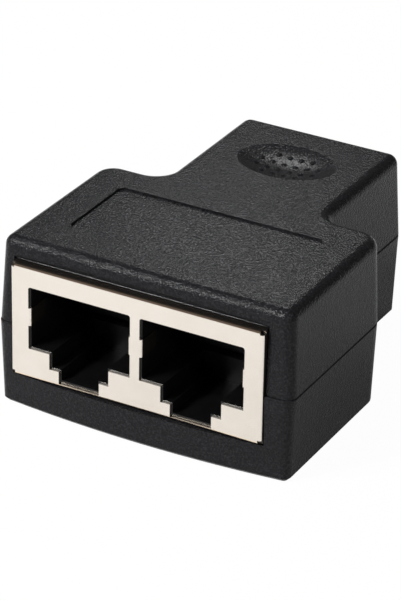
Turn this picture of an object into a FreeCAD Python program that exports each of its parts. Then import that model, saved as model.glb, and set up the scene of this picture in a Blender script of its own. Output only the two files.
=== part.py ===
import FreeCAD, Part
import math
import os
import Sketcher
from FreeCAD import Vector

# One-to-two Ethernet cable splitter: a T-shaped two-part moulded housing, a shielded jack
# with two ports at the front, a shielded jack with one port at the back, and a small board
# that joins the three sets of eight spring contacts. Z is up, the two ports face -Y,
# and the origin is below the middle of the part on the surface that it stands on.

doc = FreeCAD.newDocument("EthernetCableSplitter")
dims = doc.addObject("Spreadsheet::Sheet", "dims")

# Driving sizes in millimetres and degrees
SIZES = [
    # housing
    ("housing_width", 35.17, "across the front at the parting line"),
    ("shoulder_taper", 0.2, "each side of the wide end, narrower at the shoulder than at the front"),
    ("narrow_width", 20.2, "across the single-port end"),
    ("body_length", 40.5, "front face to back face"),
    ("shoulder_depth", 21.85, "front face to the shoulder"),
    ("housing_height", 19.6, "underside to top"),
    ("parting_height", 9.75, "underside to the parting line"),
    ("upper_draft", 2.6, "draft of the upper half's sides"),
    ("lower_draft", 2.0, "draft of the lower half's sides"),
    ("lip_bow", 1.1, "forward bow of the lower half's front edge"),
    ("side_wall", 1.7, "thickness of the upright walls"),
    ("roof_wall", 1.6, "thickness of the top"),
    ("floor_wall", 1.6, "thickness of the bottom"),
    ("edge_radius", 1.2, "rounding of the top edge and of the upright corners"),
    ("shoulder_radius", 2.8, "outer corner of the shoulder"),
    ("neck_radius", 2.0, "inner corner of the shoulder"),
    ("bottom_bevel", 0.4, "bevel of the bottom edge"),
    ("seam_chamfer", 0.1, "bevel of both halves along the parting line"),
    ("label_width", 24.7, "recessed panel, across"),
    ("label_length", 11.0, "recessed panel, front to back"),
    ("label_setback", 5.8, "front face to the recessed panel"),
    ("label_recess", 0.25, "depth of the panel"),
    ("label_radius", 0.8, "corners of the panel"),
    ("grip_setback", 9.0, "back face to the middle of the finger dish"),
    ("grip_width", 11.5, "finger dish, across"),
    ("grip_length", 8.3, "finger dish, front to back"),
    ("grip_depth", 0.9, "depth of the finger dish"),
    # jacks
    ("shield_sheet", 0.25, "thickness of the shields' sheet metal"),
    ("shield_bend", 0.3, "outer radius of the shields' folds"),
    ("shield_head", 2.38, "window to the top of the shield"),
    ("shield_depth", 13.5, "front to back of both shields"),
    ("shield_proud", 0.55, "shield's face beyond the housing"),
    ("shield_relief", 0.45, "side of the square reliefs at the face's corners"),
    ("jack_headroom", 0.7, "shields to the roof of the housing"),
    ("front_jack_gap", 0.885, "side wall to the two-port shield, each side"),
    ("back_jack_gap", 0.11, "side wall to the one-port shield, each side"),
    ("jack_shift", -0.51, "two-port jack and its opening from the middle"),
    ("opening_side_play", 0.1, "opening beyond the two-port shield, each side"),
    ("opening_back_play", 0.3, "opening beyond the one-port shield, each side"),
    ("opening_head", 0.06, "opening above the shields"),
    ("opening_drop", 0.22, "opening below the shields"),
    ("brow_height", 0.26, "shallow recess above the front opening, at its ends"),
    ("brow_arch", 0.35, "further height of that recess in the middle"),
    ("brow_depth", 0.25, "depth of that recess"),
    ("port_web", 1.12, "sheet between the two windows"),
    ("window_width", 12.3, "port window in the shield"),
    ("window_height", 7.29, "port window above its sill"),
    ("window_sill", 3.48, "bottom of the shield to the window's sill"),
    ("window_radius", 0.3, "upper corners of the port window"),
    ("step_width", 7.2, "latch step below the window"),
    ("step_sill", 1.68, "bottom of the shield to the latch step"),
    ("slot_width", 4.9, "latch slot below the step"),
    ("tab_sill", 6.2, "bottom of the shield to the grounding tabs"),
    ("tab_height", 2.05, "height of a grounding tab"),
    ("tab_depth", 3.0, "reach of a grounding tab into the port"),
    ("tab_bend", 0.3, "outer radius of a grounding tab's bend"),
    ("insert_tail", 0.5, "back of the insert beyond the shield"),
    ("insert_reveal", 0.2, "edge of the insert inside the shield's window"),
    ("insert_top", 0.7, "top wall of the insert above the carriers"),
    ("latch_floor", 0.35, "floor of the insert below the latch slot"),
    ("latch_depth", 9.0, "shield's face to the end of the latch space"),
    ("mouth_depth", 1.5, "shield's face to the carrier's space"),
    ("fit_clearance", 0.05, "between pieces that slide together"),
    # contacts, their carriers and the board
    ("carrier_width", 10.3, "carrier's tongue"),
    ("carrier_start", 2.5, "shield's face to the tip of the tongue"),
    ("carrier_back", 10.2, "shield's face to the carrier's back wall"),
    ("comb_depth", 0.9, "depth of the comb in the carrier's back wall"),
    ("comb_sill", 1.0, "floor of the port to the bottom of the comb"),
    ("contact_pitch", 1.02, "contact to contact"),
    ("contact_width", 0.45, "width of a contact"),
    ("contact_gauge", 0.35, "thickness of a contact"),
    ("contact_slot", 0.6, "width of the carrier's channels"),
    ("contact_rise", 0.43, "roof of the port to the contact's straight run"),
    ("contact_gap", 0.125, "front lip of the insert to the contact's bend"),
    ("contact_radius", 0.6, "radius of the contact's bend"),
    ("contact_drop", 3.82, "fall of the contact's spring from its bend to its tip"),
    ("contact_reach", 0.4, "tip of the contact inside the carrier's comb"),
    ("contact_overhang", 3.0, "contact's tail beyond the insert"),
    ("board_thickness", 1.6, "circuit board"),
    ("board_gap", 0.3, "board to the jacks, the posts and the shoulder"),
    # ribs, posts and pins in the housing
    ("rib_width", 1.2, "ribs that carry the jacks"),
    ("front_rib_spread", 20.0, "outer ribs below the two-port jack"),
    ("back_rib_spread", 9.0, "ribs below the one-port jack"),
    ("rib_gap", 0.1, "end of a rib or post to its jack"),
    ("post_width", 3.4, "square posts that join the halves"),
    ("front_post_spread", 27.2, "front pair of posts"),
    ("back_post_spread", 13.2, "back pair of posts"),
    ("pin_diameter", 1.8, "pins on the posts"),
    ("pin_height", 3.0, "pins above the parting line"),
    ("rest_width", 3.0, "square posts below the board"),
    ("rest_spread", 17.0, "front pair of posts below the board"),
    ("rest_front", 3.55, "two-port jack to the middle of the front posts below the board"),
    ("rest_back", 2.9, "one-port jack to the middle of the back post below the board"),
]
for row, (alias, size, note) in enumerate(SIZES, start=1):
    dims.set(f"A{row}", alias)
    dims.set(f"B{row}", str(size))
    dims.setAlias(f"B{row}", alias)
    dims.set(f"C{row}", note)
doc.recompute()

# Places that follow from the sizes
SHIELD_HEIGHT = "(dims.window_sill + dims.window_height + dims.shield_head)"
JACK_TOP = "(dims.housing_height - dims.roof_wall - dims.jack_headroom)"
JACK_FLOOR = f"({JACK_TOP} - {SHIELD_HEIGHT})"
LIP_REACH = (f"(dims.lip_bow - (dims.parting_height - {JACK_FLOOR} + dims.opening_drop)"
             " * tan(dims.lower_draft))")
FRONT = f"((max({LIP_REACH}; dims.shield_proud) - dims.body_length - dims.shield_proud) / 2)"
BACK = f"({FRONT} + dims.body_length)"
SHOULDER = f"({FRONT} + dims.shoulder_depth)"
PAIR_WIDTH = "(dims.housing_width - 2 * dims.side_wall - 2 * dims.front_jack_gap)"
SINGLE_WIDTH = "(dims.narrow_width - 2 * dims.side_wall - 2 * dims.back_jack_gap)"
PORT_PITCH = "(dims.window_width + dims.port_web)"
INSERT_DEPTH = "(dims.shield_depth + dims.insert_tail)"
FRONT_JACK_END = f"({FRONT} - dims.shield_proud + {INSERT_DEPTH})"
BACK_JACK_END = f"({BACK} + dims.shield_proud - {INSERT_DEPTH})"
FRONT_POST = f"({FRONT_JACK_END} + dims.rib_gap + dims.post_width / 2)"
BACK_POST = f"({BACK_JACK_END} - dims.rib_gap - dims.post_width / 2)"
CAVITY_WIDTH = "(dims.window_width - 2 * dims.insert_reveal)"
CAVITY_SILL = "(dims.window_sill + dims.insert_reveal)"
CAVITY_HEAD = "(dims.window_sill + dims.window_height - dims.insert_reveal)"
INSERT_BOTTOM = "(dims.shield_sheet + dims.fit_clearance)"
INSERT_TOP = f"({SHIELD_HEIGHT} - dims.shield_sheet - dims.fit_clearance)"
TONGUE_TOP = f"({INSERT_TOP} - dims.insert_top)"
CONTACTS = 8
CONTACT_RUN = f"({CAVITY_HEAD} + dims.contact_rise)"
CONTACT_BEND = "(dims.mouth_depth + dims.contact_gap + dims.contact_radius + dims.contact_gauge / 2)"
CONTACT_TIP = "(dims.carrier_back + dims.contact_reach)"
CONTACT_TAIL = f"({INSERT_DEPTH} + dims.contact_overhang)"
CONTACT_SLOPE = f"atan(dims.contact_drop / ({CONTACT_TIP} - {CONTACT_BEND}))"
BOARD_TOP = f"({JACK_FLOOR} + {CONTACT_RUN} - dims.contact_gauge / 2)"
BOARD_BOTTOM = f"({BOARD_TOP} - dims.board_thickness)"


def number(expression):
    return float(dims.evalExpression(str(expression)))


def new_body(label):
    body = doc.addObject("PartDesign::Body", label)
    body.Label = label
    return body


def new_sketch(body, name, role, offset="0"):
    """A sketch on one of the body's origin planes, moved along the plane's normal."""
    sketch = body.newObject("Sketcher::SketchObject", name)
    base = next(f for f in body.Origin.OriginFeatures if f.Role == role)
    sketch.AttachmentSupport = [(base, "")]
    sketch.MapMode = "FlatFace"
    sketch.setExpression("AttachmentOffset.Base.z", offset)
    return sketch


def bind(sketch, constraint, expression):
    index = sketch.addConstraint(constraint)
    sketch.setExpression(f"Constraints[{index}]", expression)


def outline(sketch, points, bows=None, rounds=None):
    """Closed outline through points, counter-clockwise.

    bows gives the sagitta of an edge that is an arc, rounds the radius of a rounded corner.
    """
    bows, rounds = bows or {}, rounds or {}
    count = len(points)
    spots = [Vector(number(px), number(py), 0) for px, py in points]
    leave, arrive = list(spots), list(spots)
    corners = {}
    for i, radius in rounds.items():
        before = (spots[i - 1] - spots[i]).normalize()
        after = (spots[(i + 1) % count] - spots[i]).normalize()
        half = before.getAngle(after) / 2
        reach = number(radius) / math.tan(half)
        arrive[i], leave[i] = spots[i] + before * reach, spots[i] + after * reach
        centre = spots[i] + (before + after).normalize() * (number(radius) / math.sin(half))
        near, far = (1, 2) if after.cross(before).z > 0 else (2, 1)
        ends = (arrive[i], leave[i]) if near == 1 else (leave[i], arrive[i])
        start, stop = [math.atan2((end - centre).y, (end - centre).x) for end in ends]
        ring = Part.Circle(centre, Vector(0, 0, 1), number(radius))
        arc = Part.ArcOfCircle(ring, start, stop if stop > start else stop + 2 * math.pi)
        corners[i] = sketch.addGeometry(arc), near, far
    edges = []
    for i in range(count):
        first, last = leave[i], arrive[(i + 1) % count]
        if i in bows:
            across = last - first
            outward = Vector(across.y, -across.x, 0).normalize() * number(bows[i])
            edge = Part.Arc(first, (first + last) * 0.5 + outward, last)
        else:
            edge = Part.LineSegment(first, last)
        edges.append(sketch.addGeometry(edge))
    for i in range(count):
        spot, end = edges[i], 1
        if i in rounds:
            spot = sketch.addGeometry(Part.Point(spots[i]), True)
            for edge in (edges[i - 1], edges[i]):
                sketch.addConstraint(Sketcher.Constraint("PointOnObject", spot, 1, edge))
            arc, near, far = corners[i]
            sketch.addConstraint(Sketcher.Constraint("Tangent", edges[i - 1], 2, arc, near))
            sketch.addConstraint(Sketcher.Constraint("Tangent", arc, far, edges[i], 1))
            bind(sketch, Sketcher.Constraint("Radius", arc, number(rounds[i])), rounds[i])
        else:
            sketch.addConstraint(Sketcher.Constraint("Coincident", edges[i - 1], 2, edges[i], 1))
        for kind, expression, value in (("DistanceX", points[i][0], spots[i].x),
                                        ("DistanceY", points[i][1], spots[i].y)):
            bind(sketch, Sketcher.Constraint(kind, -1, 1, spot, end, value), expression)
    for i, bow in bows.items():
        chord = f"(({points[(i + 1) % count][0]}) - ({points[i][0]}))"
        radius = f"({chord}^2 / 8 / ({bow}) + ({bow}) / 2)"
        bind(sketch, Sketcher.Constraint("Radius", edges[i], number(radius)), radius)
    return sketch


def block(x0, x1, y0, y1):
    """Corner points of an upright rectangle."""
    return [(x0, y0), (x1, y0), (x1, y1), (x0, y1)]


def centred(width, y0, y1, middle="0"):
    return block(f"{middle} - {width} / 2", f"{middle} + {width} / 2", y0, y1)


def circle(sketch, x, y, diameter):
    edge = sketch.addGeometry(Part.Circle(Vector(number(x), number(y), 0), Vector(0, 0, 1),
                                          number(diameter) / 2))
    bind(sketch, Sketcher.Constraint("DistanceX", -1, 1, edge, 3, number(x)), x)
    bind(sketch, Sketcher.Constraint("DistanceY", -1, 1, edge, 3, number(y)), y)
    bind(sketch, Sketcher.Constraint("Diameter", edge, number(diameter)), diameter)


def pad(body, sketch, length, reverse=False):
    feature = body.newObject("PartDesign::Pad", f"{sketch.Name}_pad")
    feature.Profile = sketch
    feature.Reversed = reverse
    feature.setExpression("Length", length)
    doc.recompute()
    return feature


def draft(body, angle, neutral_height):
    """Leans every upright side inwards, away from the level face at the neutral height."""
    tip = body.Tip
    before = tip.Shape.Volume
    sides, neutral = [], None
    for i, face in enumerate(tip.Shape.Faces, start=1):
        middle = face.CenterOfMass
        upright = abs(face.normalAt(*face.Surface.parameter(middle)).z) < 0.1
        if upright:
            sides.append(f"Face{i}")
        elif abs(middle.z - number(neutral_height)) < 1e-4:
            neutral = f"Face{i}"
    feature = body.newObject("PartDesign::Draft", f"{body.Label}_draft")
    feature.Base = (tip, sides)
    feature.NeutralPlane = (tip, [neutral])
    feature.setExpression("Angle", angle)
    doc.recompute()
    if feature.Shape.Volume > before:
        feature.Reversed = True
        doc.recompute()
    return feature


def pocket(body, sketch, length, reverse=False):
    before = body.Shape.Volume
    feature = body.newObject("PartDesign::Pocket", f"{sketch.Name}_cut")
    feature.Profile = sketch
    feature.Reversed = reverse
    feature.setExpression("Length", length)
    doc.recompute()
    if not body.Shape.Volume < before:
        raise RuntimeError(f"{feature.Name} removes nothing")
    return feature


def dress(body, kind, size, test):
    """A fillet or chamfer along every edge of the body's tip that passes the test."""
    tip = body.Tip
    names = []
    for i, edge in enumerate(tip.Shape.Edges, start=1):
        if edge.Degenerated:
            continue
        halfway = (edge.FirstParameter + edge.LastParameter) / 2
        if test(edge.valueAt(halfway), edge.tangentAt(halfway)):
            names.append(f"Edge{i}")
    if not names:
        raise RuntimeError(f"no edge for {kind} {size} on {body.Label}")
    feature = body.newObject(f"PartDesign::{kind}", f"{body.Label}_{kind.lower()}")
    feature.Base = (tip, names)
    feature.setExpression("Radius" if kind == "Fillet" else "Size", size)
    doc.recompute()
    return feature


def place(body, x, y, z, half_turn=False):
    if half_turn:
        body.Placement = FreeCAD.Placement(Vector(0, 0, 0), FreeCAD.Rotation(Vector(0, 0, 1), 180))
    body.setExpression("Placement.Base.x", x)
    body.setExpression("Placement.Base.y", y)
    body.setExpression("Placement.Base.z", z)


# T-shaped plan that both halves of the housing share
def housing_plan(inset="0"):
    wide = f"(dims.housing_width / 2 - {inset})"
    shoulder = f"(dims.housing_width / 2 - dims.shoulder_taper - {inset})"
    narrow = f"(dims.narrow_width / 2 - {inset})"
    front = f"({FRONT} + {inset})"
    neck = f"({SHOULDER} - {inset})"
    back = f"({BACK} - {inset})"
    return [(f"-{wide}", front), (wide, front), (shoulder, neck), (narrow, neck),
            (narrow, back), (f"-{narrow}", back), (f"-{narrow}", neck), (f"-{shoulder}", neck)]


SHOULDER_ROUNDS = {2: "dims.shoulder_radius", 3: "dims.neck_radius",
                   6: "dims.neck_radius", 7: "dims.shoulder_radius"}
CORNER_ROUNDS = {i: "dims.edge_radius" for i in (0, 1, 4, 5)}


def upright_corner(point, tangent):
    """True on the upright corners at the very front and the very back."""
    away = min(point.y - number(FRONT), number(BACK) - point.y)
    return abs(tangent.z) > 0.9 and away < number("dims.edge_radius")


def posts(sketch, width, spots):
    """Square posts of one width, each about its own middle."""
    for x, y in spots:
        outline(sketch, centred(width, f"{y} - {width} / 2", f"{y} + {width} / 2", x))


def cut_openings(body):
    """Openings in the front and back faces that the shields stand in."""
    low = f"{JACK_FLOOR} - dims.opening_drop"
    high = f"{JACK_TOP} + dims.opening_head"
    reach = "dims.side_wall + dims.lip_bow"
    front = new_sketch(body, f"{body.Label}_front_opening", "XZ_Plane",
                       f"-({FRONT}) + dims.lip_bow")
    outline(front, centred(f"({PAIR_WIDTH} + 2 * dims.opening_side_play)", low, high,
                           "dims.jack_shift"))
    pocket(body, front, reach)
    back = new_sketch(body, f"{body.Label}_back_opening", "XZ_Plane", f"-({BACK})")
    outline(back, centred(f"({SINGLE_WIDTH} + 2 * dims.opening_back_play)", low, high))
    pocket(body, back, reach, reverse=True)


# Upper half: drafted sides, rounded top edge, recess over the jack, panel and finger dish
upper = new_body("upper_housing")
plan = new_sketch(upper, "upper_plan", "XY_Plane", "dims.parting_height")
outline(plan, housing_plan(), rounds=SHOULDER_ROUNDS)
pad(upper, plan, "dims.housing_height - dims.parting_height")
draft(upper, "dims.upper_draft", "dims.parting_height")
dress(upper, "Fillet", "dims.edge_radius",
      lambda p, t: upright_corner(p, t) or p.z > number("dims.housing_height") - 1e-4)
dress(upper, "Chamfer", "dims.seam_chamfer",
      lambda p, t: p.z < number("dims.parting_height") + 1e-4)
hollow = new_sketch(upper, "upper_hollow", "XY_Plane", "dims.parting_height")
outline(hollow, housing_plan("dims.side_wall"))
pocket(upper, hollow, "dims.housing_height - dims.parting_height - dims.roof_wall", reverse=True)
cut_openings(upper)
brow = new_sketch(upper, "front_brow", "XZ_Plane", f"-({FRONT})")
BROW = f"({JACK_TOP} + dims.opening_head + dims.brow_height)"
outline(brow, centred(f"({PAIR_WIDTH} + 2 * dims.opening_side_play)", JACK_TOP, BROW,
                      "dims.jack_shift"), {2: "dims.brow_arch"})
pocket(upper, brow, f"({BROW} - dims.parting_height) * tan(dims.upper_draft) + dims.brow_depth")
label = new_sketch(upper, "label_panel", "XY_Plane", "dims.housing_height")
outline(label, centred("dims.label_width", f"{FRONT} + dims.label_setback",
                       f"{FRONT} + dims.label_setback + dims.label_length"))
pocket(upper, label, "dims.label_recess")
dress(upper, "Fillet", "dims.label_radius",
      lambda p, t: abs(t.z) > 0.9 and p.z > number("dims.housing_height - dims.label_recess")
      and abs(p.x) < number("dims.label_width / 2 + dims.label_radius"))

# Finger dish: a shallow arc turned about a crosswise axis above the top
grip = new_sketch(upper, "finger_dish", "XZ_Plane", f"-({BACK} - dims.grip_setback)")
HALF = "(dims.grip_width / 2)"
GRIP_BASE = "(dims.housing_height - dims.grip_depth)"
GRIP_AXIS = ("(dims.housing_height"
             " + (dims.grip_length^2 / 4 - dims.grip_depth^2) / 2 / dims.grip_depth)")
left = Vector(-number(HALF), number("dims.housing_height"), 0)
right = Vector(number(HALF), number("dims.housing_height"), 0)
arc = grip.addGeometry(Part.Arc(left, Vector(0, number(GRIP_BASE), 0), right))
chord = grip.addGeometry(Part.LineSegment(right, left))
axis = grip.addGeometry(Part.LineSegment(Vector(left.x, number(GRIP_AXIS), 0),
                                         Vector(right.x, number(GRIP_AXIS), 0)), True)
grip.addConstraint(Sketcher.Constraint("Coincident", arc, 2, chord, 1))
grip.addConstraint(Sketcher.Constraint("Coincident", chord, 2, arc, 1))
bind(grip, Sketcher.Constraint("DistanceX", -1, 1, chord, 1, right.x), HALF)
bind(grip, Sketcher.Constraint("DistanceY", -1, 1, chord, 1, right.y), "dims.housing_height")
bind(grip, Sketcher.Constraint("DistanceX", -1, 1, chord, 2, left.x), f"-{HALF}")
bind(grip, Sketcher.Constraint("DistanceY", -1, 1, chord, 2, left.y), "dims.housing_height")
DISH_RADIUS = "(dims.grip_width^2 / 8 / dims.grip_depth + dims.grip_depth / 2)"
bind(grip, Sketcher.Constraint("Radius", arc, number(DISH_RADIUS)), DISH_RADIUS)
bind(grip, Sketcher.Constraint("DistanceX", -1, 1, axis, 1, left.x), f"-{HALF}")
bind(grip, Sketcher.Constraint("DistanceY", -1, 1, axis, 1, number(GRIP_AXIS)), GRIP_AXIS)
bind(grip, Sketcher.Constraint("DistanceX", -1, 1, axis, 2, right.x), HALF)
bind(grip, Sketcher.Constraint("DistanceY", -1, 1, axis, 2, number(GRIP_AXIS)), GRIP_AXIS)
dish = upper.newObject("PartDesign::Groove", "finger_dish_cut")
dish.Profile = grip
dish.ReferenceAxis = (grip, ["Axis0"])
dish.Angle = 360
doc.recompute()

# Ribs that hold the jacks down and sockets for the pins of the lower half
ROOF = "(dims.housing_height - dims.roof_wall)"
hold = new_sketch(upper, "upper_ribs", "XY_Plane", f"{JACK_TOP} + dims.rib_gap")
for spread, y0, y1 in (
        ("dims.front_rib_spread", f"{FRONT} + dims.side_wall", f"{FRONT_JACK_END} - dims.rib_gap"),
        ("dims.back_rib_spread", f"{BACK_JACK_END} + dims.rib_gap", f"{BACK} - dims.side_wall")):
    for side in ("-", ""):
        outline(hold, centred("dims.rib_width", y0, y1, f"{side}{spread} / 2"))
pad(upper, hold, f"{ROOF} - {JACK_TOP} - dims.rib_gap")
POSTS = [("-dims.front_post_spread / 2", FRONT_POST), ("dims.front_post_spread / 2", FRONT_POST),
         ("-dims.back_post_spread / 2", BACK_POST), ("dims.back_post_spread / 2", BACK_POST)]
PINS = [POSTS[0], POSTS[3]]
socket = new_sketch(upper, "upper_posts", "XY_Plane", "dims.parting_height")
posts(socket, "dims.post_width", POSTS)
pad(upper, socket, f"{ROOF} - dims.parting_height")
bore = new_sketch(upper, "upper_bores", "XY_Plane", "dims.parting_height")
for x, y in PINS:
    circle(bore, x, y, "dims.pin_diameter + 2 * dims.fit_clearance")
pocket(upper, bore, "dims.pin_height + dims.fit_clearance", reverse=True)

# Lower half: bowed front lip, flat underside
lower = new_body("lower_housing")
plan = new_sketch(lower, "lower_plan", "XY_Plane", "dims.parting_height")
outline(plan, housing_plan(), {0: "dims.lip_bow"}, SHOULDER_ROUNDS | CORNER_ROUNDS)
pad(lower, plan, "dims.parting_height", reverse=True)
draft(lower, "dims.lower_draft", "dims.parting_height")
dress(lower, "Chamfer", "dims.bottom_bevel", lambda p, t: p.z < 1e-4)
dress(lower, "Chamfer", "dims.seam_chamfer",
      lambda p, t: p.z > number("dims.parting_height") - 1e-4)
hollow = new_sketch(lower, "lower_hollow", "XY_Plane", "dims.parting_height")
outline(hollow, housing_plan("dims.side_wall"))
pocket(lower, hollow, "dims.parting_height - dims.floor_wall")
cut_openings(lower)

# Ribs below the jacks, posts below the board, posts and pins that locate the upper half
carry = new_sketch(lower, "lower_ribs", "XY_Plane", "dims.floor_wall")
for spread, y0, y1 in (
        ("dims.front_rib_spread", f"{FRONT} + dims.side_wall", f"{FRONT_JACK_END} - dims.rib_gap"),
        ("dims.back_rib_spread", f"{BACK_JACK_END} + dims.rib_gap", f"{BACK} - dims.side_wall")):
    for side in ("-", ""):
        outline(carry, centred("dims.rib_width", y0, y1, f"{side}{spread} / 2"))
pad(lower, carry, f"{JACK_FLOOR} - dims.floor_wall")
post = new_sketch(lower, "lower_posts", "XY_Plane", "dims.floor_wall")
posts(post, "dims.post_width", POSTS)
pad(lower, post, "dims.parting_height - dims.floor_wall")
pin = new_sketch(lower, "lower_pins", "XY_Plane", "dims.parting_height")
for x, y in PINS:
    circle(pin, x, y, "dims.pin_diameter")
pad(lower, pin, "dims.pin_height")
rest = new_sketch(lower, "board_rests", "XY_Plane", "dims.floor_wall")
FRONT_REST = f"({FRONT_JACK_END} + dims.rest_front)"
posts(rest, "dims.rest_width", [("-dims.rest_spread / 2", FRONT_REST),
                                ("dims.rest_spread / 2", FRONT_REST),
                                ("0", f"({BACK_JACK_END} - dims.rest_back)")])
pad(lower, rest, f"{BOARD_BOTTOM} - dims.floor_wall")


# Jacks: x across, y from the shield's face inwards, z from the shield's bottom
def port_outline(middle, inset, floor):
    """Stepped port window: plug body above, latch step and latch slot below."""
    wide = f"(dims.window_width / 2 - {inset})"
    step = f"(dims.step_width / 2 - {inset})"
    slot = f"(dims.slot_width / 2 - {inset})"
    sill = f"dims.window_sill + {inset}"
    latch = f"dims.step_sill + {inset}"
    head = f"dims.window_sill + dims.window_height - {inset}"
    return [(f"{middle} - {slot}", floor), (f"{middle} + {slot}", floor),
            (f"{middle} + {slot}", latch), (f"{middle} + {step}", latch),
            (f"{middle} + {step}", sill), (f"{middle} + {wide}", sill),
            (f"{middle} + {wide}", head), (f"{middle} - {wide}", head),
            (f"{middle} - {wide}", sill), (f"{middle} - {step}", sill),
            (f"{middle} - {step}", latch), (f"{middle} - {slot}", latch)]


HEAD_ROUNDS = {i: "dims.window_radius" for i in (6, 7)}


def make_shield(label, width, middles):
    """Folded sheet-metal shield, open at the back, with two grounding tabs in each window."""
    body = new_body(label)
    shell = new_sketch(body, f"{label}_shell", "XZ_Plane")
    outline(shell, centred(width, "0", SHIELD_HEIGHT))
    pad(body, shell, "dims.shield_depth", reverse=True)
    relief = new_sketch(body, f"{label}_reliefs", "XZ_Plane")
    side, notch = f"({width} / 2)", "dims.shield_relief"
    for x0, x1 in ((f"-{side}", f"-{side} + {notch}"), (f"{side} - {notch}", side)):
        outline(relief, block(x0, x1, "0", notch))
        outline(relief, block(x0, x1, f"{SHIELD_HEIGHT} - {notch}", SHIELD_HEIGHT))
    pocket(body, relief, "dims.shield_relief")
    dress(body, "Fillet", "dims.shield_bend",
          lambda p, t: p.y < 1e-4 and abs(t.y) < 0.5 and on_rim(p, width))
    inside = new_sketch(body, f"{label}_inside", "XZ_Plane", "-dims.shield_depth")
    outline(inside, centred(f"({width} - 2 * dims.shield_sheet)", "dims.shield_sheet",
                            f"{SHIELD_HEIGHT} - dims.shield_sheet"))
    pocket(body, inside, "dims.shield_depth - dims.shield_sheet", reverse=True)
    window = new_sketch(body, f"{label}_windows", "XZ_Plane")
    for middle in middles:
        outline(window, port_outline(middle, "0", "dims.shield_sheet"), rounds=HEAD_ROUNDS)
    pocket(body, window, "dims.shield_sheet")
    tabs = new_sketch(body, f"{label}_tabs", "XY_Plane", "dims.tab_sill")
    for middle in middles:
        for side in (-1, 1):
            bent_tab(tabs, middle, side)
    pad(body, tabs, "dims.tab_height")
    return body


def on_rim(point, width):
    """True on the outer edges of a shield's face, not on its reliefs."""
    side = number(width) / 2 - abs(point.x)
    level = min(point.z, number(SHIELD_HEIGHT) - point.z)
    return min(side, level) < 1e-4 and max(side, level) > number("dims.shield_relief") + 1e-4


def bent_tab(sketch, middle, side):
    """Plan of a grounding tab that turns from the window's edge into the port."""
    edge = f"({middle} + {side} * dims.window_width / 2)"
    outer = f"({edge} - {side} * dims.tab_bend)"
    inner = f"({outer} + {side} * dims.shield_sheet)"
    x0, x1, x2 = number(edge), number(outer), number(inner)
    bend, sheet = number("dims.tab_bend"), number("dims.shield_sheet")
    end = number("dims.tab_depth")
    centre = Vector(x0, bend, 0)
    start, stop = (180, 270) if side > 0 else (270, 360)
    big = Part.ArcOfCircle(Part.Circle(centre, Vector(0, 0, 1), bend),
                           math.radians(start), math.radians(stop))
    small = Part.ArcOfCircle(Part.Circle(centre, Vector(0, 0, 1), bend - sheet),
                             math.radians(start), math.radians(stop))
    arc_out, arc_in = sketch.addGeometry(big), sketch.addGeometry(small)
    front, turn = (2, 1) if side > 0 else (1, 2)
    root = sketch.addGeometry(Part.LineSegment(Vector(x0, 0, 0), Vector(x0, sheet, 0)))
    back = sketch.addGeometry(Part.LineSegment(Vector(x2, bend, 0), Vector(x2, end, 0)))
    tip = sketch.addGeometry(Part.LineSegment(Vector(x2, end, 0), Vector(x1, end, 0)))
    face = sketch.addGeometry(Part.LineSegment(Vector(x1, end, 0), Vector(x1, bend, 0)))
    for first, a, second, b in ((arc_out, front, root, 1), (root, 2, arc_in, front),
                                (back, 2, tip, 1), (tip, 2, face, 1)):
        sketch.addConstraint(Sketcher.Constraint("Coincident", first, a, second, b))
    sketch.addConstraint(Sketcher.Constraint("Tangent", arc_in, turn, back, 1))
    sketch.addConstraint(Sketcher.Constraint("Tangent", face, 2, arc_out, turn))
    sketch.addConstraint(Sketcher.Constraint("Coincident", arc_out, 3, arc_in, 3))
    sketch.addConstraint(Sketcher.Constraint("Vertical", root))
    sketch.addConstraint(Sketcher.Constraint("Vertical", back))
    sketch.addConstraint(Sketcher.Constraint("Horizontal", tip))
    bind(sketch, Sketcher.Constraint("DistanceX", -1, 1, root, 1, x0), edge)
    bind(sketch, Sketcher.Constraint("DistanceY", -1, 1, root, 1, 0), "0")
    bind(sketch, Sketcher.Constraint("DistanceX", -1, 1, arc_out, 3, x0), edge)
    bind(sketch, Sketcher.Constraint("Radius", arc_out, bend), "dims.tab_bend")
    bind(sketch, Sketcher.Constraint("Radius", arc_in, bend - sheet),
         "dims.tab_bend - dims.shield_sheet")
    bind(sketch, Sketcher.Constraint("DistanceY", -1, 1, tip, 1, end), "dims.tab_depth")


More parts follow.
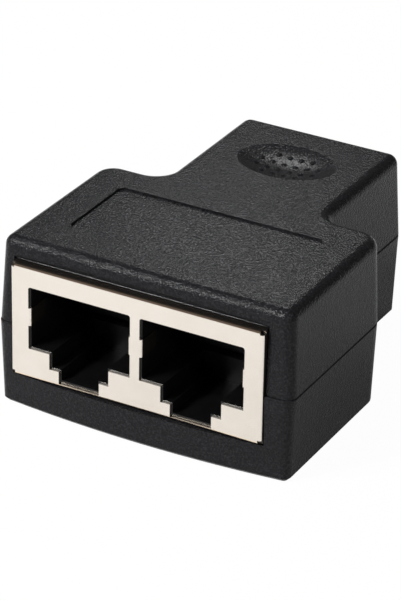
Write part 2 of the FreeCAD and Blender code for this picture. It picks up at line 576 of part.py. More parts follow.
def make_insert(label, width, middles):
    """Moulded insert: plug cavities open to the back, latch spaces and room for the carriers."""
    body = new_body(label)
    core = new_sketch(body, f"{label}_core", "XZ_Plane", "-dims.shield_sheet")
    outline(core, centred(f"({width} - 2 * dims.shield_sheet - 2 * dims.fit_clearance)",
                          INSERT_BOTTOM, INSERT_TOP))
    pad(body, core, f"{INSERT_DEPTH} - dims.shield_sheet", reverse=True)
    cavity = new_sketch(body, f"{label}_cavities", "XZ_Plane")
    latch = new_sketch(body, f"{label}_latches", "XZ_Plane")
    tongue = new_sketch(body, f"{label}_tongues", "XZ_Plane", "-dims.mouth_depth")
    ground = new_sketch(body, f"{label}_tab_rooms", "XZ_Plane")
    for middle in middles:
        outline(cavity, centred(CAVITY_WIDTH, CAVITY_SILL, CAVITY_HEAD, middle))
        outline(latch, port_outline(middle, "dims.insert_reveal",
                                    f"{INSERT_BOTTOM} + dims.latch_floor"))
        outline(tongue, centred("(dims.carrier_width + 2 * dims.fit_clearance)", CAVITY_HEAD,
                                TONGUE_TOP, middle))
        room = ("(dims.window_width - 2 * dims.tab_bend"
                " + 2 * dims.shield_sheet + 2 * dims.fit_clearance)")
        outline(ground, centred(room, "dims.tab_sill - dims.fit_clearance",
                                "dims.tab_sill + dims.tab_height + dims.fit_clearance", middle))
    pocket(body, cavity, INSERT_DEPTH)
    pocket(body, latch, "dims.latch_depth")
    pocket(body, tongue, f"{INSERT_DEPTH} - dims.mouth_depth")
    pocket(body, ground, "dims.tab_depth + dims.fit_clearance")
    return body


def make_carrier(label):
    """Contact carrier of one port: a channelled tongue and a combed back wall."""
    body = new_body(label)
    wall = new_sketch(body, f"{label}_wall", "XZ_Plane", "-dims.carrier_back")
    outline(wall, centred(f"({CAVITY_WIDTH} - 2 * dims.fit_clearance)",
                          f"{CAVITY_SILL} + dims.fit_clearance",
                          f"{CAVITY_HEAD} - dims.fit_clearance"))
    pad(body, wall, f"{INSERT_DEPTH} - dims.carrier_back", reverse=True)
    tongue = new_sketch(body, f"{label}_tongue", "XZ_Plane", "-dims.carrier_start")
    outline(tongue, centred("dims.carrier_width", f"{CAVITY_HEAD} - dims.fit_clearance",
                            f"{TONGUE_TOP} - dims.fit_clearance"))
    pad(body, tongue, f"{INSERT_DEPTH} - dims.carrier_start", reverse=True)
    channel = new_sketch(body, f"{label}_channel", "XZ_Plane", "-dims.carrier_start")
    first = f"(1 - {CONTACTS}) / 2 * dims.contact_pitch"
    outline(channel, centred("dims.contact_slot", f"{CAVITY_HEAD} - dims.fit_clearance",
                             f"{CONTACT_RUN} + dims.contact_gauge / 2 + dims.fit_clearance",
                             first))
    cut = pocket(body, channel, f"{INSERT_DEPTH} - dims.carrier_start")
    comb = new_sketch(body, f"{label}_comb", "XZ_Plane", "-dims.carrier_back")
    outline(comb, centred("dims.contact_slot", f"{CAVITY_SILL} + dims.comb_sill", CAVITY_HEAD, first))
    notch = pocket(body, comb, "dims.comb_depth")
    row = body.newObject("PartDesign::LinearPattern", f"{label}_row")
    row.Originals = [cut, notch]
    row.Direction = (channel, ["H_Axis"])
    row.Occurrences = CONTACTS
    row.setExpression("Length", f"({CONTACTS} - 1) * dims.contact_pitch")
    body.Tip = row
    doc.recompute()
    return body


def make_contact(label):
    """Spring contact: straight run, hairpin bend and sloping spring, cut from flat strip."""
    body = new_body(label)
    strip = new_sketch(body, f"{label}_strip", "YZ_Plane")
    run, bend = number(CONTACT_RUN), number(CONTACT_BEND)
    radius, half = number("dims.contact_radius"), number("dims.contact_gauge / 2")
    tail, tip = number(CONTACT_TAIL), number(CONTACT_TIP)
    slope = math.radians(number(CONTACT_SLOPE))
    centre = Vector(bend, run - radius, 0)
    along = Vector(math.cos(slope), -math.sin(slope), 0)
    down = Vector(-math.sin(slope), -math.cos(slope), 0)
    arcs, springs = [], []
    for size in (radius + half, radius - half):
        ring = Part.Circle(centre, Vector(0, 0, 1), size)
        bow = Part.ArcOfCircle(ring, math.radians(90), math.radians(270) - slope)
        arcs.append(strip.addGeometry(bow))
        start = centre + down * size
        springs.append((start, start + along * ((tip - start.x) / along.x)))
    outer, inner = arcs
    lines = [(Vector(tail, run + half, 0), Vector(bend, run + half, 0)),
             (Vector(bend, run - half, 0), Vector(tail, run - half, 0)),
             (Vector(tail, run - half, 0), Vector(tail, run + half, 0)),
             springs[0], springs[1][::-1], (springs[0][1], springs[1][1])]
    top, under, end, low, high, cap = [strip.addGeometry(Part.LineSegment(*line)) for line in lines]
    for first, a, second, b in ((top, 2, outer, 1), (outer, 2, low, 1),
                                (high, 2, inner, 2), (inner, 1, under, 1)):
        strip.addConstraint(Sketcher.Constraint("Tangent", first, a, second, b))
    for first, second in ((under, end), (end, top), (low, cap), (cap, high)):
        strip.addConstraint(Sketcher.Constraint("Coincident", first, 2, second, 1))
    strip.addConstraint(Sketcher.Constraint("Coincident", outer, 3, inner, 3))
    strip.addConstraint(Sketcher.Constraint("Horizontal", top))
    strip.addConstraint(Sketcher.Constraint("Horizontal", under))
    strip.addConstraint(Sketcher.Constraint("Vertical", end))
    strip.addConstraint(Sketcher.Constraint("Vertical", cap))
    strip.addConstraint(Sketcher.Constraint("Parallel", low, high))
    bind(strip, Sketcher.Constraint("Radius", outer, radius + half),
         "dims.contact_radius + dims.contact_gauge / 2")
    bind(strip, Sketcher.Constraint("Radius", inner, radius - half),
         "dims.contact_radius - dims.contact_gauge / 2")
    bind(strip, Sketcher.Constraint("DistanceX", -1, 1, outer, 3, bend), CONTACT_BEND)
    bind(strip, Sketcher.Constraint("DistanceY", -1, 1, outer, 3, run - radius),
         f"{CONTACT_RUN} - dims.contact_radius")
    bind(strip, Sketcher.Constraint("DistanceX", -1, 1, end, 1, tail), CONTACT_TAIL)
    bind(strip, Sketcher.Constraint("DistanceX", -1, 1, cap, 1, tip), CONTACT_TIP)
    bind(strip, Sketcher.Constraint("Angle", low, -slope), f"-{CONTACT_SLOPE}")
    feature = pad(body, strip, "dims.contact_width")
    feature.Midplane = True
    doc.recompute()
    return body


LEFT_PORT, RIGHT_PORT = f"(-{PORT_PITCH} / 2)", f"({PORT_PITCH} / 2)"
FRONT_FACE = f"{FRONT} - dims.shield_proud"
BACK_FACE = f"{BACK} + dims.shield_proud"

front_shield = make_shield("front_jack_shield", PAIR_WIDTH, (LEFT_PORT, RIGHT_PORT))
front_insert = make_insert("front_jack_insert", PAIR_WIDTH, (LEFT_PORT, RIGHT_PORT))
back_shield = make_shield("rear_jack_shield", SINGLE_WIDTH, ("0",))
back_insert = make_insert("rear_jack_insert", SINGLE_WIDTH, ("0",))
for body in (front_shield, front_insert):
    place(body, "dims.jack_shift", FRONT_FACE, JACK_FLOOR)
for body in (back_shield, back_insert):
    place(body, "0", BACK_FACE, JACK_FLOOR, half_turn=True)

bodies = [upper, lower, front_shield, front_insert, back_shield, back_insert]
for port, middle, face, turned in (("left", f"dims.jack_shift + {LEFT_PORT}", FRONT_FACE, False),
                                   ("right", f"dims.jack_shift + {RIGHT_PORT}", FRONT_FACE, False),
                                   ("rear", "0", BACK_FACE, True)):
    carrier = make_carrier(f"{port}_contact_carrier")
    place(carrier, middle, face, JACK_FLOOR, turned)
    bodies.append(carrier)
    for i in range(CONTACTS):
        contact = make_contact(f"{port}_port_contact_{i + 1}")
        across = f"{middle} + ({i} - ({CONTACTS} - 1) / 2) * dims.contact_pitch"
        place(contact, across, face, JACK_FLOOR, turned)
        bodies.append(contact)

# Circuit board: lies between the jacks with the tails of the contacts on it
board = new_body("circuit_board")
panel = new_sketch(board, "board_plan", "XY_Plane", BOARD_BOTTOM)
WIDE = "(dims.front_post_spread / 2 - dims.post_width / 2 - dims.board_gap)"
NECK = "(dims.back_post_spread / 2 - dims.post_width / 2 - dims.board_gap)"
START = f"{FRONT_JACK_END} + dims.board_gap"
STEP = f"min({SHOULDER} - dims.side_wall; {BACK_POST} - dims.post_width / 2) - dims.board_gap"
END = f"{BACK_JACK_END} - dims.board_gap"
outline(panel, [(f"-{WIDE}", START), (WIDE, START), (WIDE, STEP), (NECK, STEP),
                (NECK, END), (f"-{NECK}", END), (f"-{NECK}", STEP), (f"-{WIDE}", STEP)])
pad(board, panel, "dims.board_thickness")
bodies.append(board)

doc.recompute()
for item in doc.Objects:
    if "Invalid" in item.State or "Error" in item.State:
        raise RuntimeError(f"{item.Label} failed: {item.State}")
for body in bodies:
    shape = body.Shape
    if shape.isNull() or not shape.isValid() or len(shape.Solids) != 1:
        raise RuntimeError(f"{body.Label} is not one valid solid")

os.makedirs("parts", exist_ok=True)
for body in bodies:
    body.Shape.exportStep(f"parts/{body.Label}.step")
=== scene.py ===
import math

import bpy
import numpy as np
from mathutils import Matrix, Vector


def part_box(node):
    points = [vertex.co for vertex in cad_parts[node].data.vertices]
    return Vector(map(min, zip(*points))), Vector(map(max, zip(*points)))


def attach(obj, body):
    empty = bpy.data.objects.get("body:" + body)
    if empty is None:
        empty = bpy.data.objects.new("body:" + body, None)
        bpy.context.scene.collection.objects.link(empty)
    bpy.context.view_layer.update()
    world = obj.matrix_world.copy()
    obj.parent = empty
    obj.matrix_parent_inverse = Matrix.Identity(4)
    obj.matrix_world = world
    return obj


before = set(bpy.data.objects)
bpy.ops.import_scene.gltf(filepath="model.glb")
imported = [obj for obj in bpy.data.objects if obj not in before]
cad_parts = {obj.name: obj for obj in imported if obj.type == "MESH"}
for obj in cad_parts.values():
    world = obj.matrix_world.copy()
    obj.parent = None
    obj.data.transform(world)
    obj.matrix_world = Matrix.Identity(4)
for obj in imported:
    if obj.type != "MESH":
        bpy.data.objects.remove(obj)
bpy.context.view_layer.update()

# Housing halves: two shells of charcoal ABS, injection moulded and joined face to face at the
# parting line. The mould was spark-eroded, so every outer face has a fine pebbled grain that
# sparkles in the light. It is worn flatter in the finger dish and dull along the joint's edges.
GRAIN_PITCH = 0.00020
GRAIN_RISE = 0.000075
GRAIN_SHADES = (
    (0.3, (0.007, 0.007, 0.0078)),
    (0.5, (0.011, 0.011, 0.0122)),
    (0.7, (0.020, 0.020, 0.0220)),
)
GRAIN_ROUGHNESS = (0.15, 0.21)
GRAIN_SPECULAR = 0.09
SHEEN_PITCH = 0.007
SEAM_BAND = (0.00012, 0.00018)
SEAM_ROUGHNESS = 0.7
DISH_SETBACK = 0.00955
DISH_HALF_WIDTH = 0.00575
DISH_HALF_LENGTH = 0.00415
DISH_RIM_BAND = (0.75, 1.15)
DISH_GRAIN = 0.55
parting_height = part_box("upper_housing")[0].z
dish_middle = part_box("rear_jack_shield")[1].y - DISH_SETBACK


def feed(tree, node, sockets):
    """Fills a node's inputs with links, or with values that are the same all over."""
    for name, value in sockets.items():
        if isinstance(value, bpy.types.NodeSocket):
            tree.links.new(value, node.inputs[name])
        else:
            node.inputs[name].default_value = value


def add(tree, kind, sockets, **settings):
    """Adds one node, sets its properties and fills its inputs."""
    node = tree.nodes.new(kind)
    for name, value in settings.items():
        setattr(node, name, value)
    feed(tree, node, sockets)
    return node


def reckon(tree, operation, *terms):
    """Result of one operation, such as a difference or a product, on links and numbers."""
    return add(tree, "ShaderNodeMath", dict(enumerate(terms)), operation=operation).outputs["Value"]


def mottle(tree, place, pitch, detail, roughness=0.5, distortion=0.0):
    """Noise from 0 to 1, in lumps about as wide as the pitch."""
    sockets = {"Vector": place, "Scale": 1 / pitch, "Detail": detail, "Roughness": roughness,
               "Distortion": distortion}
    return add(tree, "ShaderNodeTexNoise", sockets).outputs["Fac"]


def shades(tree, factor, stops):
    """Colour along a ramp: each stop is a place from 0 to 1 and a colour."""
    node = add(tree, "ShaderNodeValToRGB", {"Fac": factor})
    elements = node.color_ramp.elements
    while len(elements) < len(stops):
        elements.new(0.5)
    for element, (place, colour) in zip(elements, stops):
        element.position = place
        element.color = (*colour, 1)
    return node.outputs["Color"]


def span(tree, factor, limits):
    """Stretches a factor from 0 to 1 so that it runs from the first limit to the second."""
    sockets = {"Value": factor, "To Min": limits[0], "To Max": limits[1]}
    return add(tree, "ShaderNodeMapRange", sockets).outputs["Result"]


def rise(tree, place, start, end, low=0.0, high=1.0):
    """Smooth step from low, where the place is at the start, to high at the end."""
    sockets = {"Value": place, "From Min": start, "From Max": end, "To Min": low, "To Max": high}
    return add(tree, "ShaderNodeMapRange", sockets, interpolation_type="SMOOTHSTEP").outputs["Result"]


def blend(tree, factor, first, second, data_type="FLOAT"):
    """Number or colour that goes from the first to the second as the factor goes from 0 to 1."""
    sockets = {"Factor": factor, "A": first, "B": second}
    return add(tree, "ShaderNodeMix", sockets, data_type=data_type).outputs["Result"]


def relief(tree, height, strength, distance):
    """Normal of a surface that a pattern raises by up to the distance."""
    sockets = {"Height": height, "Strength": strength, "Distance": distance}
    return add(tree, "ShaderNodeBump", sockets).outputs["Normal"]


def finish_of(name):
    """A new material, its node tree, its shader and the Object coordinates."""
    material = bpy.data.materials.new(name)
    material.use_nodes = True
    tree = material.node_tree
    place = add(tree, "ShaderNodeTexCoord", {}).outputs["Object"]
    return material, tree, tree.nodes["Principled BSDF"], place


def dress(nodes, material):
    """Gives the named CAD nodes the material, and no other."""
    for name in nodes:
        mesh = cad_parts[name].data
        mesh.materials.clear()
        mesh.materials.append(material)


def grained_plastic():
    """Pebbled charcoal plastic: fine noise for the grain, broad noise for its sheen.

    The roughness is raised within the band beside the parting plane. The grain's relief falls inside
    the dish's rim, which is where the distance from its middle, over its half sizes, is 1."""
    material, tree, shader, place = finish_of("grained_charcoal_plastic")
    grain = mottle(tree, place, GRAIN_PITCH, detail=1.0)
    sheen = span(tree, mottle(tree, place, SHEEN_PITCH, detail=3.0), GRAIN_ROUGHNESS)
    height = add(tree, "ShaderNodeSeparateXYZ", {"Vector": place}).outputs["Z"]
    off_seam = reckon(tree, "ABSOLUTE", reckon(tree, "SUBTRACT", height, parting_height))
    gloss = blend(tree, rise(tree, off_seam, *SEAM_BAND), SEAM_ROUGHNESS, sheen)
    dish = {"Vector": place, "Location": (0, dish_middle, 0), "Scale": (DISH_HALF_WIDTH, DISH_HALF_LENGTH, 1)}
    in_dish = add(tree, "ShaderNodeMapping", dish, vector_type="TEXTURE").outputs["Vector"]
    flat = add(tree, "ShaderNodeVectorMath", {0: in_dish, 1: (1, 1, 0)}, operation="MULTIPLY")
    reach = add(tree, "ShaderNodeVectorMath", {0: flat.outputs["Vector"]}, operation="LENGTH")
    wear = rise(tree, reach.outputs["Value"], *DISH_RIM_BAND, low=DISH_GRAIN)
    feed(tree, shader, {
        "Base Color": shades(tree, grain, GRAIN_SHADES),
        "Roughness": gloss,
        "Specular IOR Level": GRAIN_SPECULAR,
        "Normal": relief(tree, grain, wear, GRAIN_RISE),
    })
    return material


housing_finish = grained_plastic()
dress(("upper_housing", "lower_housing"), housing_finish)

# Grip bumps: rows of small blunt cones that stand in the finger dish, moulded in one with the
# upper half, so a thumb doesn't slip when the cords are pulled out. Each row has its place, in
# rows from the dish's middle, and its count of bumps.
BUMP_PITCH = 0.0014
ROW_PITCH = 0.0015
BUMP_ROWS = ((-1.5, 4), (-0.5, 6), (0.5, 6), (1.5, 4))
BUMP_RADIUS = 0.00036
BUMP_RISE = 0.00020
BUMP_ROOT = 0.00010
BUMP_BLUNTNESS = 1.5
DISH_DEPTH = 0.0009


def dish_height(x, y):
    """Height of the finger dish: an arc across the part, turned about a crosswise axis above it."""
    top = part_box("upper_housing")[1].z
    arc_radius = (DISH_HALF_WIDTH**2 / DISH_DEPTH + DISH_DEPTH) / 2
    axis = top + (DISH_HALF_LENGTH**2 - DISH_DEPTH**2) / (2 * DISH_DEPTH)
    arc = top - DISH_DEPTH + arc_radius - np.sqrt(arc_radius**2 - x**2)
    return axis - np.sqrt((axis - arc)**2 - (y - dish_middle)**2)


def tube_faces(rings, segments):
    """Faces of a closed tube: quads between its rings, then a fan to each tip, whose points come last.

    Looking from the first tip to the last, each ring's points run anticlockwise, so faces point out."""
    around = np.arange(segments)
    after = (around + 1) % segments
    rows = np.arange(rings - 1)[:, None] * segments
    quad = [rows + around, rows + segments + around, rows + segments + after, rows + after]
    sides = np.stack(quad, axis=-1).reshape(-1, 4)
    last = (rings - 1) * segments
    first_fan = np.stack([np.full(segments, rings * segments), around, after], axis=-1)
    last_fan = np.stack([np.full(segments, rings * segments + 1), last + after, last + around], axis=-1)
    return sides, np.concatenate([first_fan, last_fan])


def blunt_cones(spots, segments=20, rings=5):
    """Closed cones on the spots: height h (1 - s^b) at radius R s, turned about upright axes."""
    turn = np.linspace(0, 2 * math.pi, segments, endpoint=False)
    share = np.linspace(0, 1, rings + 1)[1:]
    radius = BUMP_RADIUS * np.concatenate([share, [1.0]])[:, None]
    height = np.concatenate([BUMP_RISE * (1 - share**BUMP_BLUNTNESS), [-BUMP_ROOT]])[:, None]
    circles = np.stack(np.broadcast_arrays(radius * np.cos(turn), radius * np.sin(turn), height), axis=-1)
    cone = np.concatenate([circles.reshape(-1, 3), [[0, 0, BUMP_RISE], [0, 0, -BUMP_ROOT]]])
    points = (spots[:, None, :] + cone).reshape(-1, 3)
    sides, fans = tube_faces(len(height), segments)
    steps = np.arange(len(spots))[:, None, None] * len(cone)
    return points, (sides + steps).reshape(-1, 4).tolist() + (fans + steps).reshape(-1, 3).tolist()


def mesh_piece(name, points, faces, material, slot):
    """A smooth-shaded mesh object at the origin that rides on the part."""
    mesh = bpy.data.meshes.new(name)
    mesh.from_pydata(points.tolist(), [], faces)
    mesh.polygons.foreach_set("use_smooth", np.ones(len(faces), bool))
    mesh.materials.append(material)
    piece = bpy.data.objects.new(name, mesh)
    bpy.context.scene.collection.objects.link(piece)
    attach(piece, "root")


columns = np.concatenate([np.arange(count) - (count - 1) / 2 for _, count in BUMP_ROWS]) * BUMP_PITCH
lines = np.concatenate([np.full(count, row) for row, count in BUMP_ROWS]) * ROW_PITCH + dish_middle
bump_spots = np.stack([columns, lines, dish_height(columns, lines)], axis=-1)
mesh_piece("grip_bumps", *blunt_cones(bump_spots), housing_finish, "housing")

# Moulding flash: a hair of plastic squeezed out along the head of the front opening, where the
# mould's core met its cavity. It has no grain, so it shines as a thin uneven line.
FLASH_RADIUS = 0.000045
FLASH_ABOVE = 0.00008
FLASH_BEHIND = 0.001127
FLASH_WAVER = 0.22
FLASH_SHADES = ((0.3, (0.008, 0.008, 0.009)), (0.7, (0.014, 0.014, 0.0155)))
FLASH_ROUGHNESS = (0.18, 0.36)


def flash_bead(low, high, stations=160, segments=10):
    """Closed bead above a shield's box: circles of radius r(s) along x, drawn to a point at both ends.

    With s from 0 to 1 along the bead, r(s) = R (1 + w sin 41s sin(97s + 1.3)) times the root of
    40 s (1 - s), where that is less than 1."""
    share = np.linspace(0, 1, stations)[1:-1]
    waver = 1 + FLASH_WAVER * np.sin(41 * share) * np.sin(97 * share + 1.3)
    taper = np.clip(40 * share * (1 - share), 0, 1)**0.5
    radius = (FLASH_RADIUS * waver * taper)[:, None]
    turn = np.linspace(0, 2 * math.pi, segments, endpoint=False)
    y, z = low.y + FLASH_BEHIND, high.z + FLASH_ABOVE
    x = (low.x + (high.x - low.x) * share)[:, None]
    circles = np.stack(np.broadcast_arrays(x, y + radius * np.cos(turn), z - radius * np.sin(turn)), axis=-1)
    points = np.concatenate([circles.reshape(-1, 3), [[low.x, y, z], [high.x, y, z]]])
    sides, fans = tube_faces(len(share), segments)
    return points, sides.tolist() + fans.tolist()


def glossy_edge():
    """Smooth black plastic with a little uneven gloss."""
    material, tree, shader, place = finish_of("glossy_black_edge")
    patch = mottle(tree, place, SHEEN_PITCH, detail=4.0)
    feed(tree, shader, {
        "Base Color": shades(tree, patch, FLASH_SHADES),
        "Roughness": span(tree, patch, FLASH_ROUGHNESS),
    })
    return material


mesh_piece("opening_flash", *flash_bead(*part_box("front_jack_shield")), glossy_edge(), "housing")

# Jack shields: nickel-plated brass sheet, blanked, folded round each jack and bent in at the
# windows' edges. The plating is satin, warm white and faintly streaked by rolling. Its colour
# has painted shade: brown to nearly black along the top fold, where the housing's opening shades
# it, and dark grey on the metal behind the face. The sheared bottom edge shows the brass below it.
ROLLING_PITCH = 0.00009
ROLLING_LENGTH = 0.004
ROLLING_RISE = 0.00001
ROLLING_STRENGTH = 0.25
STAIN_PITCH = 0.0022
NICKEL_SHADES = (
    (0.25, (0.82, 0.76, 0.69)),
    (0.5, (0.80, 0.74, 0.665)),
    (0.8, (0.775, 0.71, 0.63)),
)
NICKEL_ROUGHNESS = (0.20, 0.30)
# Painted shade on the top fold, from brown at its foot to nearly black at its top, under the housing's
# opening.
PAINTED_FOLD_SHADE = ((0.0, (0.10, 0.068, 0.045)), (1.0, (0.016, 0.012, 0.009)))
FOLD_AND_INSIDE_ROUGHNESS = 0.5
BARE_BRASS = (0.90, 0.74, 0.56, 1)
# Painted shade on all metal behind the face, which faces the black inside of the jacks.
PAINTED_INSIDE_SHADE = (0.06, 0.052, 0.045, 1)
INSIDE_BAND = (0.00012, 0.00030)
FOLD_BAND = (0.00034, 0.00022)
FOLD_SHADE_BAND = (0.00030, 0.00008)
SHEAR_BAND = (0.00034, 0.00020)


def satin_nickel():
    """Satin nickel: rolling streaks drawn out along x in the roughness, stains and painted shade in the
    colour.

    Bands are measured behind the nearer face, below the shields' top or above their bottom."""
    material, tree, shader, place = finish_of("satin_nickel")
    rolled = {"Vector": place, "Scale": (1 / ROLLING_LENGTH, 1 / ROLLING_PITCH, 1 / ROLLING_PITCH)}
    stretch = add(tree, "ShaderNodeMapping", rolled).outputs["Vector"]
    streak = mottle(tree, stretch, 1.0, detail=2.0)
    stain = mottle(tree, place, STAIN_PITCH, detail=4.0, roughness=0.6)
    low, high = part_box("front_jack_shield")
    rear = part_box("rear_jack_shield")[1].y
    along = add(tree, "ShaderNodeSeparateXYZ", {"Vector": place}).outputs
    depth = reckon(tree, "MINIMUM", reckon(tree, "SUBTRACT", along["Y"], low.y),
                   reckon(tree, "SUBTRACT", rear, along["Y"]))
    # Mask of the painted shade on the metal behind the face, also used to make it matt.
    inside = rise(tree, depth, *INSIDE_BAND)
    # Mask and ramp of the painted shade along the top fold, darkest at the top.
    fold = rise(tree, along["Z"], *(high.z - below for below in FOLD_BAND))
    shade_across_fold = rise(tree, along["Z"], *(high.z - below for below in FOLD_SHADE_BAND))
    shear = rise(tree, along["Z"], *(low.z + above for above in SHEAR_BAND))
    plating = shades(tree, stain, NICKEL_SHADES)
    # Painted fold shade laid over the plating's colour.
    with_fold_shade = blend(tree, fold, plating, shades(tree, shade_across_fold, PAINTED_FOLD_SHADE), "RGBA")
    sheared = blend(tree, shear, with_fold_shade, BARE_BRASS, "RGBA")
    matt = reckon(tree, "MAXIMUM", fold, inside)
    feed(tree, shader, {
        "Base Color": blend(tree, inside, sheared, PAINTED_INSIDE_SHADE, "RGBA"),
        "Metallic": 1.0,
        "Roughness": blend(tree, matt, span(tree, streak, NICKEL_ROUGHNESS), FOLD_AND_INSIDE_ROUGHNESS),
        "Normal": relief(tree, streak, ROLLING_STRENGTH, ROLLING_RISE),
    })
    return material


dress(("front_jack_shield", "rear_jack_shield"), satin_nickel())

# Jack inserts: black glass-filled polyester, moulded with the plug cavities and slid into the
# shields from behind. The fibres leave a faint flow pattern in a half-gloss skin.
INSERT_BLACK = (0.0035, 0.0035, 0.0038)
INSERT_ROUGHNESS = 0.36
FLOW_PITCH = 0.0012
FLOW_RISE = 0.00003
FLOW_STRENGTH = 0.3
FLOW_DARKENING = 0.7
FLOW_GLOSS = (-0.06, 0.08)
SKIN_SPECULAR = 0.3


def moulded_black(name, colour, roughness):
    """Half-gloss black plastic with a faint flow pattern in its colour and gloss."""
    material, tree, shader, place = finish_of(name)
    flow = mottle(tree, place, FLOW_PITCH, detail=5.0, roughness=0.65, distortion=0.8)
    darker = tuple(FLOW_DARKENING * channel for channel in colour)
    feed(tree, shader, {
        "Base Color": shades(tree, flow, ((0.3, darker), (0.7, colour))),
        "Roughness": span(tree, flow, [roughness + change for change in FLOW_GLOSS]),
        "Specular IOR Level": SKIN_SPECULAR,
        "Normal": relief(tree, flow, FLOW_STRENGTH, FLOW_RISE),
    })
    return material


insert_finish = moulded_black("insert_black", INSERT_BLACK, INSERT_ROUGHNESS)
dress(("front_jack_insert", "rear_jack_insert"), insert_finish)

# Contact carriers: combs of the same black plastic, a shade greyer, pressed into the inserts
# with the contacts in their channels.
PORTS = ("left", "right", "rear")
CARRIER_BLACK = (0.010, 0.010, 0.011)
CARRIER_ROUGHNESS = 0.45
carrier_finish = moulded_black("carrier_black", CARRIER_BLACK, CARRIER_ROUGHNESS)
dress([f"{port}_contact_carrier" for port in PORTS], carrier_finish)

# Contacts: phosphor-bronze strip, gold-plated and bent to springs, eight to a port. The plating
# is bright where the plug wipes it and a little dull elsewhere.
CONTACTS = 8
WIPE_PITCH = 0.0006
GOLD_SHADES = ((0.3, (0.72, 0.50, 0.20)), (0.7, (0.90, 0.70, 0.34)))
GOLD_ROUGHNESS = (0.34, 0.18)


def gold_plate():
    """Gold plate with small dull patches."""
    material, tree, shader, place = finish_of("gold_plate")
    wipe = mottle(tree, place, WIPE_PITCH, detail=3.0)
    feed(tree, shader, {
        "Base Color": shades(tree, wipe, GOLD_SHADES),
        "Metallic": 1.0,
        "Roughness": span(tree, wipe, GOLD_ROUGHNESS),
    })
    return material


dress([f"{port}_port_contact_{i + 1}" for port in PORTS for i in range(CONTACTS)], gold_plate())

# Circuit board: glass-epoxy laminate with a green solder mask. It stands on posts of the lower
# half, closed in between the jacks, and the contacts' tails lie on it.
WEAVE_SCALE = 100.0
MASK_SHADES = ((0.0, (0.010, 0.070, 0.030)), (1.0, (0.018, 0.105, 0.046)))
MASK_ROUGHNESS = (0.30, 0.22)


def solder_mask():
    """Green lacquer over a woven glass cloth whose threads show through as crossed waves."""
    material, tree, shader, place = finish_of("green_solder_mask")
    threads = {"Vector": place, "Scale": WEAVE_SCALE}
    warp = add(tree, "ShaderNodeTexWave", threads, bands_direction="X").outputs["Fac"]
    weft = add(tree, "ShaderNodeTexWave", threads, bands_direction="Y").outputs["Fac"]
    cloth = reckon(tree, "MULTIPLY", warp, weft)
    feed(tree, shader, {
        "Base Color": shades(tree, cloth, MASK_SHADES),
        "Roughness": span(tree, cloth, MASK_ROUGHNESS),
    })
    return material


dress(("circuit_board",), solder_mask())

# Floor: a plain sweep of matt white card. The camera sees it nearly white, mirrors show a little
# of that, and it keeps the part's shadow.
FLOOR_HALF = 2.0
FLOOR_WHITE = (0.86, 0.86, 0.86, 1)
FLOOR_GLOW = 0.975
MIRRORED_GLOW = 0.15


def glow_share(tree):
    """Share of glow in the floor: most for the camera's rays, a little for mirror rays and through glass."""
    path = add(tree, "ShaderNodeLightPath", {}).outputs
    mirrored = reckon(tree, "MAXIMUM", path["Is Glossy Ray"], path["Is Transmission Ray"])
    direct = reckon(tree, "MULTIPLY", path["Is Camera Ray"], FLOOR_GLOW)
    return reckon(tree, "MULTIPLY_ADD", mirrored, MIRRORED_GLOW, direct)


def white_sweep():
    """White matt floor, mixed with a white glow by the kind of ray that meets it."""
    material, tree, shader, _ = finish_of("white_sweep")
    feed(tree, shader, {"Base Color": FLOOR_WHITE, "Roughness": 0.9, "Specular IOR Level": 0.1})
    glow = add(tree, "ShaderNodeEmission", {"Color": (1, 1, 1, 1), "Strength": 1.0}).outputs["Emission"]
    both = add(tree, "ShaderNodeMixShader", {0: glow_share(tree), 1: shader.outputs["BSDF"], 2: glow})
    feed(tree, tree.nodes["Material Output"], {"Surface": both.outputs["Shader"]})
    return material


corners = np.array([(-1, -1, 0), (1, -1, 0), (1, 1, 0), (-1, 1, 0)]) * FLOOR_HALF
floor_mesh = bpy.data.meshes.new("floor")
floor_mesh.from_pydata(corners.tolist(), [], [(0, 1, 2, 3)])
floor_mesh.materials.append(white_sweep())
floor = bpy.data.objects.new("floor", floor_mesh)
bpy.context.scene.collection.objects.link(floor)

# Studio: a dim pale room with four small softboxes. Two at the front left light the top and the
# rounded front edge, one lights the right side, and a weak one stands close behind the part.
ROOM_GLOW = 0.15
SOFTBOX_DISTANCE = 0.55
world = bpy.data.worlds.new("studio")
world.use_nodes = True
bpy.context.scene.world = world
feed(world.node_tree, world.node_tree.nodes["Background"], {"Color": (1, 1, 1, 1), "Strength": ROOM_GLOW})


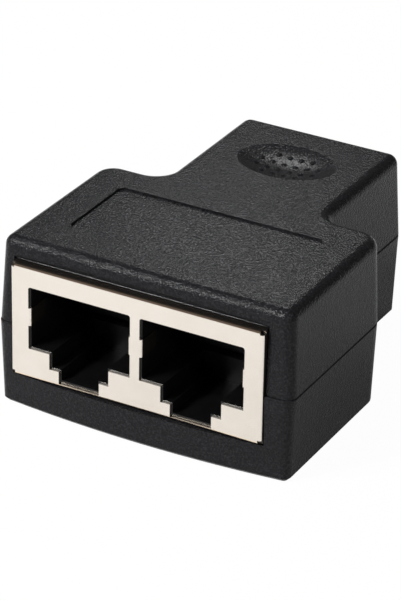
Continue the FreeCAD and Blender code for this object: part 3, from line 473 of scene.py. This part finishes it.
def softbox(name, toward, side, radiance, distance=SOFTBOX_DISTANCE):
    """Square lamp in a direction from the part, facing it, with a stated brightness of its face."""
    lamp = bpy.data.lights.new(name, "AREA")
    lamp.shape = "SQUARE"
    lamp.size = side
    lamp.energy = radiance * math.pi * side**2
    outward = np.array(toward) / np.linalg.norm(toward)
    across = np.cross((0, 0, 1), outward)
    across /= np.linalg.norm(across)
    matrix = np.eye(4)
    matrix[:3, :3] = np.stack([across, np.cross(outward, across), outward], axis=1)
    matrix[:3, 3] = outward * distance
    box = bpy.data.objects.new(name, lamp)
    box.matrix_world = Matrix(matrix)
    bpy.context.scene.collection.objects.link(box)


softbox("low_key_softbox", toward=(-0.4245, -0.7235, 0.5443), side=0.044, radiance=385.0)
softbox("high_key_softbox", toward=(-0.4245, -0.4670, 0.7757), side=0.035, radiance=360.0)
softbox("side_softbox", toward=(0.75, -0.50, 0.44), side=0.04, radiance=102.0)
softbox("back_softbox", toward=(-0.0555, 0.102, 0.1132), side=0.028, radiance=17.5, distance=0.1622)

# Camera: a long lens from the right of the two ports, looking down on them and rolled a little,
# as the photograph was taken.
AZIMUTH, ELEVATION, ROLL = np.radians((28.689, 27.84, 1.115))
CAMERA_PLACE = (0.15287, -0.286938, 0.179266)
LENS = 203.465
SENSOR_WIDTH = 36
eyepiece = bpy.data.cameras.new("camera")
eyepiece.lens = LENS
eyepiece.sensor_width = SENSOR_WIDTH
camera = bpy.data.objects.new("camera", eyepiece)
backward = np.array([math.sin(AZIMUTH) * math.cos(ELEVATION), -math.cos(AZIMUTH) * math.cos(ELEVATION),
                     math.sin(ELEVATION)])
level_right = np.array([math.cos(AZIMUTH), math.sin(AZIMUTH), 0])
level_up = np.cross(backward, level_right)
pose = np.eye(4)
pose[:3, 0] = math.cos(ROLL) * level_right + math.sin(ROLL) * level_up
pose[:3, 1] = -math.sin(ROLL) * level_right + math.cos(ROLL) * level_up
pose[:3, 2] = backward
pose[:3, 3] = CAMERA_PLACE
camera.matrix_world = Matrix(pose)
bpy.context.scene.collection.objects.link(camera)
bpy.context.scene.camera = camera
bpy.context.scene.view_settings.view_transform = "Standard"
